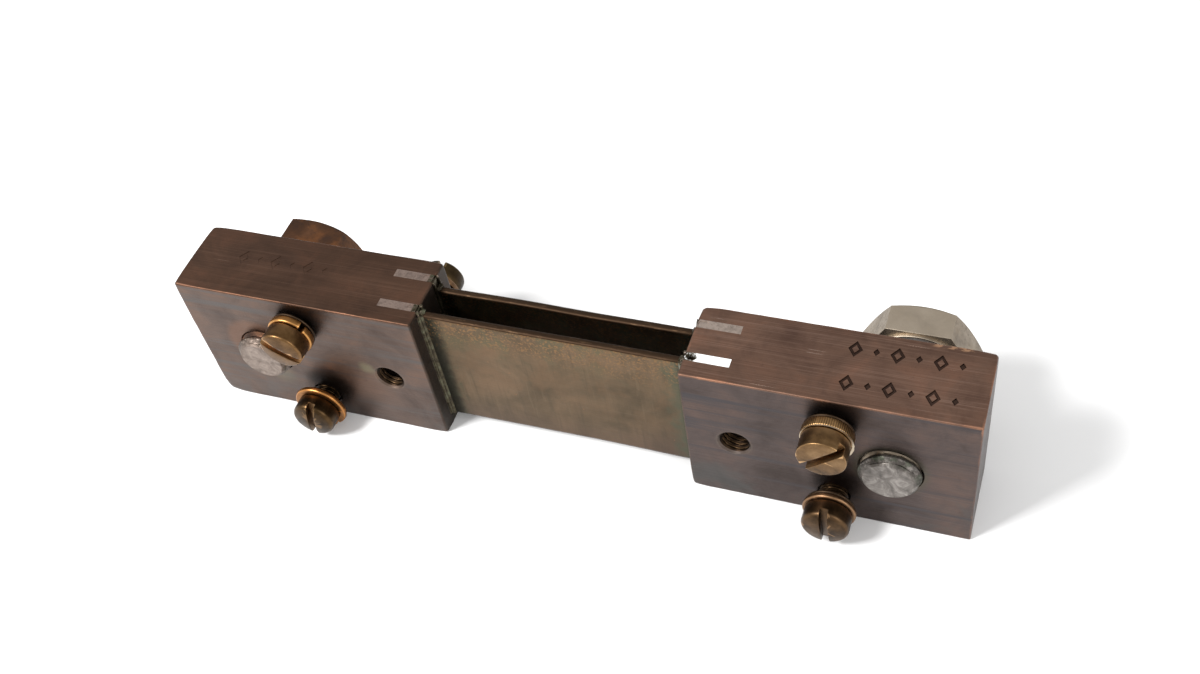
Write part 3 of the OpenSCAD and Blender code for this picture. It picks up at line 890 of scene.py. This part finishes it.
def build_lock_washer(name, node, body, slit, mat, r_in, r_out, t,
                      lift=0.10, gap=0.5, back=False, teeth=0, corner=0.2):
    """Split ring whose two ends stand lift apart in height on each side; teeth knurl its rim."""
    lo, hi = node_mm(node)
    x, z = axis_of(node)
    tt = t - 2 * lift
    prof = []
    for cx, cz, a0 in ((r_out - corner, tt - corner, 0), (r_in + corner, tt - corner, 90),
                       (r_in + corner, corner, 180), (r_out - corner, corner, 270)):
        for k in range(4):
            a = math.radians(a0 + 30 * k)
            prof.append((cx + corner * math.cos(a), cz + corner * math.sin(a)))
    n = len(prof)
    seg = 240 if teeth else 110
    half = gap / r_out
    verts, faces = [], []
    for j in range(seg + 1):
        u = j / seg
        a = math.radians(slit) + half + (2 * math.pi - 2 * half) * u
        rise = lift + (u - 0.5) * 2 * lift
        for r, w in prof:
            if teeth and r > r_out - corner - 0.05 and w > tt * 0.25:
                r -= 0.07 * (0.5 + 0.5 * math.cos(a * teeth))
            verts.append((r * math.cos(a), r * math.sin(a), w + rise))
    for j in range(seg):
        for k in range(n):
            p, q = j * n + k, j * n + (k + 1) % n
            faces.append((p, q, q + n, p + n))
    faces += [tuple(range(n)), tuple(range((seg + 1) * n - 1, seg * n - 1, -1))]
    ob = new_object(name, verts, faces, 50)
    place(ob, back_matrix(x, lo.y, z) if back else front_matrix(x, hi.y, z))
    settle(ob, body, mat, [node])


def build_flat_washer(name, node, body, mat, r_in, r_out, t):
    x, z = axis_of(node)
    prof = [(r_in, 0.06), (r_in, t - 0.06), (r_in + 0.06, t), (r_out - 0.22, t), (r_out - 0.07, t - 0.06),
            (r_out, t * 0.5), (r_out - 0.07, 0.06), (r_out - 0.22, 0), (r_in + 0.06, 0), (r_in, 0.06)]
    ob = lathe(name, prof, 96)
    finish_shading(ob, 40)
    place(ob, front_matrix(x, node_mm(node)[1].y, z))
    settle(ob, body, mat, [node])


def build_lip(name, node, body):
    """Thin raised burr round the knurled ring's front edge, standing out on one side like a crescent."""
    x, z = axis_of(node)

    def radial(a, r, _z):
        if r < 3.9:
            return 3.82
        off = math.cos(a + math.radians(12))
        return 3.93 + 0.24 * max(0.0, off) ** 0.7 + 0.02 * math.sin(23 * a)

    ob = lathe(name, [(3.82, -0.12), (4.0, -0.12), (4.0, 0.03), (3.82, 0.03), (3.82, -0.12)], 144, radial, 35)
    place(ob, front_matrix(x, node_mm(node)[0].y + 0.03, z))
    settle(ob, body, lip_mat)


def under_head(node):
    """Just behind the underside of a front screw's head."""
    return node_mm(node)[0].y + 3.45, 1


# light, middle and dark brass of each sense screw, and the seed of its pattern
screw_brass = {
    "right_upper": ((0.230, 0.140, 0.066), (0.140, 0.079, 0.034), (0.062, 0.036, 0.017), 2),
    "right_lower": ((0.105, 0.061, 0.031), (0.054, 0.032, 0.016), (0.026, 0.015, 0.008), 5),
    "left_upper": ((0.175, 0.098, 0.043), (0.112, 0.060, 0.024), (0.055, 0.029, 0.012), 9),
    "left_lower": ((0.070, 0.041, 0.019), (0.034, 0.020, 0.009), (0.015, 0.009, 0.005), 13),
}
# the same of each ring, with its roughness
ring_brass = {
    "right_upper": ((0.240, 0.145, 0.064), (0.150, 0.084, 0.036), (0.065, 0.038, 0.018), 4, 0.26),
    "right_lower": ((0.165, 0.094, 0.050), (0.095, 0.054, 0.027), (0.045, 0.026, 0.014), 7, 0.3),
    "left_upper": ((0.310, 0.155, 0.050), (0.205, 0.096, 0.030), (0.090, 0.042, 0.015), 11, 0.26),
    "left_lower": ((0.290, 0.130, 0.040), (0.185, 0.080, 0.023), (0.080, 0.034, 0.012), 15, 0.26),
}
screw_mats = {key: brass_material("screw_" + key, *row, shank=under_head(key + "_screw"))
              for key, row in screw_brass.items()}
ring_mats = {key: brass_material("ring_" + key, *row) for key, row in ring_brass.items()}
lip_mat = steel_material("washer_lip", (0.40, 0.34, 0.26), (0.25, 0.19, 0.125),
                         (0.105, 0.075, 0.045), 19, 0.2)
# near black: painted shade, as the plain washers sit in the shadow behind the rings
shaded_plain_mat = steel_material("washer_plain", (0.050, 0.032, 0.020), (0.034, 0.021, 0.013),
                           (0.015, 0.010, 0.006), 6, 0.35)
# turn of the driver slot, dome of the end face, radius of its rim; slit, radius, thickness, teeth of the ring
screws = {
    "right_upper": (41, 0.12, 0.22, 350, 4.0, 1.75, 72),
    "right_lower": (93, 0.35, 0.75, 260, 4.2, 1.1, 0),
    "left_upper": (149, 0.25, 0.45, 40, 4.0, 1.5, 0),
    "left_lower": (82, 0.35, 0.80, 300, 4.7, 1.1, 0),
}
for key, (turn, dome, rim, slit, ring_r, ring_t, teeth) in screws.items():
    build_screw(key + "_screw_turned", key + "_screw", key + "_screw_body", turn, dome, rim, screw_mats[key])
    body = key + "_screw_washers_body"
    build_lock_washer(key + "_ring", key + "_lock_washer", body, slit, ring_mats[key],
                      2.67, ring_r, ring_t, teeth=teeth, corner=0.3 if not teeth else 0.2)
    build_flat_washer(key + "_plate", key + "_flat_washer", body, shaded_plain_mat, 2.62, 3.9, 0.5)
build_lip("right_upper_lip", "right_upper_lock_washer", "right_upper_screw_washers_body")
base_mat = brass_material("screw_base", (0.070, 0.046, 0.021), (0.034, 0.022, 0.011),
                          (0.016, 0.010, 0.006), 21)
build_screw("base_screw_turned", "base_screw", "base_screw_body", 95, 0.3, 0.6, base_mat, back=True)
build_lock_washer("base_screw_ring", "base_screw_washer", "base_screw_washer_body", 190,
                  ring_mats["right_lower"], 2.67, 4.1, 1.2, back=True)


# --------------------------------------------------------------- the load bolts
def hex_head(af, h, turn):
    r = af / math.sqrt(3)
    v = []
    for z in (0.4, h):
        for j in range(6):
            a = math.radians(60 * j + turn)
            v.append((r * math.cos(a), r * math.sin(a), z))
    f = grid_faces(2, 6) + [tuple(range(6)), tuple(range(11, 5, -1))]
    ob = new_object("head_part", v, f)
    c = af * 0.475
    rc = c + 7.2 / math.tan(math.radians(30))
    dish = lathe("tool", [(0, h), (c - 1.4, h), (c, h), (c + 0.35, h - 0.16),
                          (rc, h - 7.2), (0, h - 7.2)], 96)
    cut(ob, dish, "INTERSECT")
    bevel(ob, 0.16, 3, 30)
    face = lathe("face_part", [(0, 0), (c - 0.1, 0), (c, 0.1), (c, 0.5), (0, 0.5)], 96)
    return [ob, face]


def build_bolt(name, node, body, turn, length, mats):
    lo, hi = node_mm(node)
    x, z = axis_of(node)
    h = HEX_H
    parts = hex_head(HEX_AF, h, turn)
    parts.append(threaded_rod("shank_part", -length, 0.3, BOLT_R, BOLT_PITCH, 0.62,
                              tip=0.9, seg=72, per=11, plain=0.6))
    ob = join(parts, name)
    place(ob, back_matrix(x, hi.y - h, z))
    finish_shading(ob, 17)
    for p in ob.data.polygons:
        if abs(p.normal.y) > 0.999:
            p.use_smooth = False
    settle(ob, body, mats, [node])
    for p in ob.data.polygons:
        p.material_index = 1 if p.center.y < (lo.y + 1.9) * MM else 0


bolt_silver = steel_material("bolt_silver", (0.360, 0.305, 0.240), (0.250, 0.205, 0.155),
                             (0.125, 0.100, 0.075), 3, 0.34, (0.22, 0.165, 0.105), 0.35)
bolt_brown = steel_material("bolt_brown", (0.150, 0.070, 0.036), (0.082, 0.040, 0.022),
                            (0.036, 0.026, 0.024), 12, 0.34, (0.250, 0.100, 0.036), 0.6)
end_right = stud_end_material("bolt_end_right", (0.300, 0.275, 0.252), (0.150, 0.133, 0.119),
                              (0.070, 0.061, 0.054), 3, RIGHT_BOLT)
end_left = stud_end_material("bolt_end_left", (0.270, 0.215, 0.180), (0.165, 0.125, 0.101),
                             (0.090, 0.066, 0.052), 8, LEFT_BOLT)
build_bolt("left_bolt_turned", "left_bolt", "left_bolt_body", 9, 19.9,
           [bolt_brown, end_left])
build_bolt("right_bolt_turned", "right_bolt", "right_bolt_body", 0, 21.6,
           [bolt_silver, end_right])
dark_steel = steel_material("lock_steel", (0.22, 0.20, 0.19), (0.13, 0.115, 0.105),
                            (0.05, 0.045, 0.04), 17, 0.38, (0.16, 0.07, 0.03), 0.5)
for word, slit in (("left", 200), ("right", 230)):
    washer = word + "_bolt_washer"
    build_lock_washer(word + "_bolt_ring", washer, washer + "_body", slit, dark_steel,
                      5.05, 8.5, 2.3, lift=0.15, gap=0.8, back=True, corner=0.3)


# --------------------------------------------------- threads in the base holes
def inner_thread(name, x, z, y0, y1, depth=0.36, seg=56, per=9):
    rows = int((y1 - y0) / SCREW_PITCH * per)
    verts = []
    for i in range(rows + 1):
        y = y0 + (y1 - y0) * i / rows
        fade = min(1.0, (y - y0) / 0.5, (y1 - y) / 0.5)
        for j in range(seg):
            a = 2 * math.pi * j / seg
            p = (y / SCREW_PITCH + j / seg) % 1.0
            h = min(1.0, (1 - abs(2 * p - 1)) * 1.3)
            k = SCREW_HOLE_R - 0.01 - depth * h * fade
            verts.append((x + k * math.cos(a), y, z + k * math.sin(a)))
    ob = new_object(name, verts, grid_faces(rows + 1, seg), 60)
    ob.data.transform(Matrix.Scale(MM, 4))
    return ob


# near black: painted shade inside the base holes
shaded_thread_mat = brass_material("hole_thread", (0.045, 0.027, 0.014), (0.018, 0.011, 0.007),
                            (0.008, 0.005, 0.003), 31, 0.3)
settle(inner_thread("right_base_thread", HOLE_X, HOLE_Z[1], FRONT_Y + 0.3, BACK_Y - 0.3),
       ROOT, shaded_thread_mat)
base_travel = next(j["range_m"][0] / MM for j in frame["joints"] if j["name"] == "base_screw_travel")
# the left thread stops in front of the base screw's deepest place
tip = node_mm("base_screw")[0].y + base_travel
settle(inner_thread("left_base_thread", -HOLE_X, HOLE_Z[-1], FRONT_Y + 0.3, tip - 0.15),
       ROOT, shaded_thread_mat)


# ------------------------------------------------------- floor, light, camera
me = bpy.data.meshes.new("floor")
me.from_pydata([(-3, -3, 0), (3, -3, 0), (3, 3, 0), (-3, 3, 0)], [], [(0, 1, 2, 3)])
floor = bpy.data.objects.new("floor", me)
bpy.context.collection.objects.link(floor)
ft = Tree("pale_floor")
tone = ft.mix(ft.mul(ft.noise(0.004, 3, 0.5), 0.3), (0.86, 0.86, 0.86), (0.84, 0.84, 0.835))
me.materials.append(ft.finish(tone, 0.6, 0.0))

world = bpy.data.worlds.new("studio")
bpy.context.scene.world = world
world.use_nodes = True
world.node_tree.nodes["Background"].inputs[0].default_value = (1.0, 1.0, 1.0, 1)
world.node_tree.nodes["Background"].inputs[1].default_value = 0.75


def area(name, where, target, size, power):
    data = bpy.data.lights.new(name, "AREA")
    data.shape = "RECTANGLE"
    data.size, data.size_y = size
    data.energy = power
    ob = bpy.data.objects.new(name, data)
    bpy.context.collection.objects.link(ob)
    ob.location = where
    ob.rotation_mode = "QUATERNION"
    ob.rotation_quaternion = (Vector(target) - Vector(where)).to_track_quat("-Z", "Y")
    return ob


area("key", (-0.42, -0.38, 0.62), (0, 0, 0.01), (0.22, 0.22), 9.0)
area("fill", (0.7, -0.3, 0.5), (0, 0, 0.01), (0.5, 0.5), 3.0)

# camera fitted to the blocks' corners: turn, downward tilt and roll in radians, place in metres
az, el, roll = 0.489, 0.849, -0.207
eye = (0.07336, -0.12440, 0.18531)
d = Vector((-math.sin(az) * math.cos(el), math.cos(az) * math.cos(el), -math.sin(el)))
r = d.cross(Vector((0, 0, 1))).normalized()
u = r.cross(d)
r2 = math.cos(roll) * r + math.sin(roll) * u
u2 = -math.sin(roll) * r + math.cos(roll) * u
cam_data = bpy.data.cameras.new("camera")
cam = bpy.data.objects.new("camera", cam_data)
bpy.context.collection.objects.link(cam)
cam.matrix_world = Matrix((
    (r2.x, u2.x, -d.x, eye[0]),
    (r2.y, u2.y, -d.y, eye[1]),
    (r2.z, u2.z, -d.z, eye[2]),
    (0, 0, 0, 1)))
cam_data.sensor_width = 36
cam_data.lens = 40.93
cam_data.clip_start, cam_data.clip_end = 0.01, 20
bpy.context.scene.camera = cam
bpy.context.scene.view_settings.view_transform = "Standard"
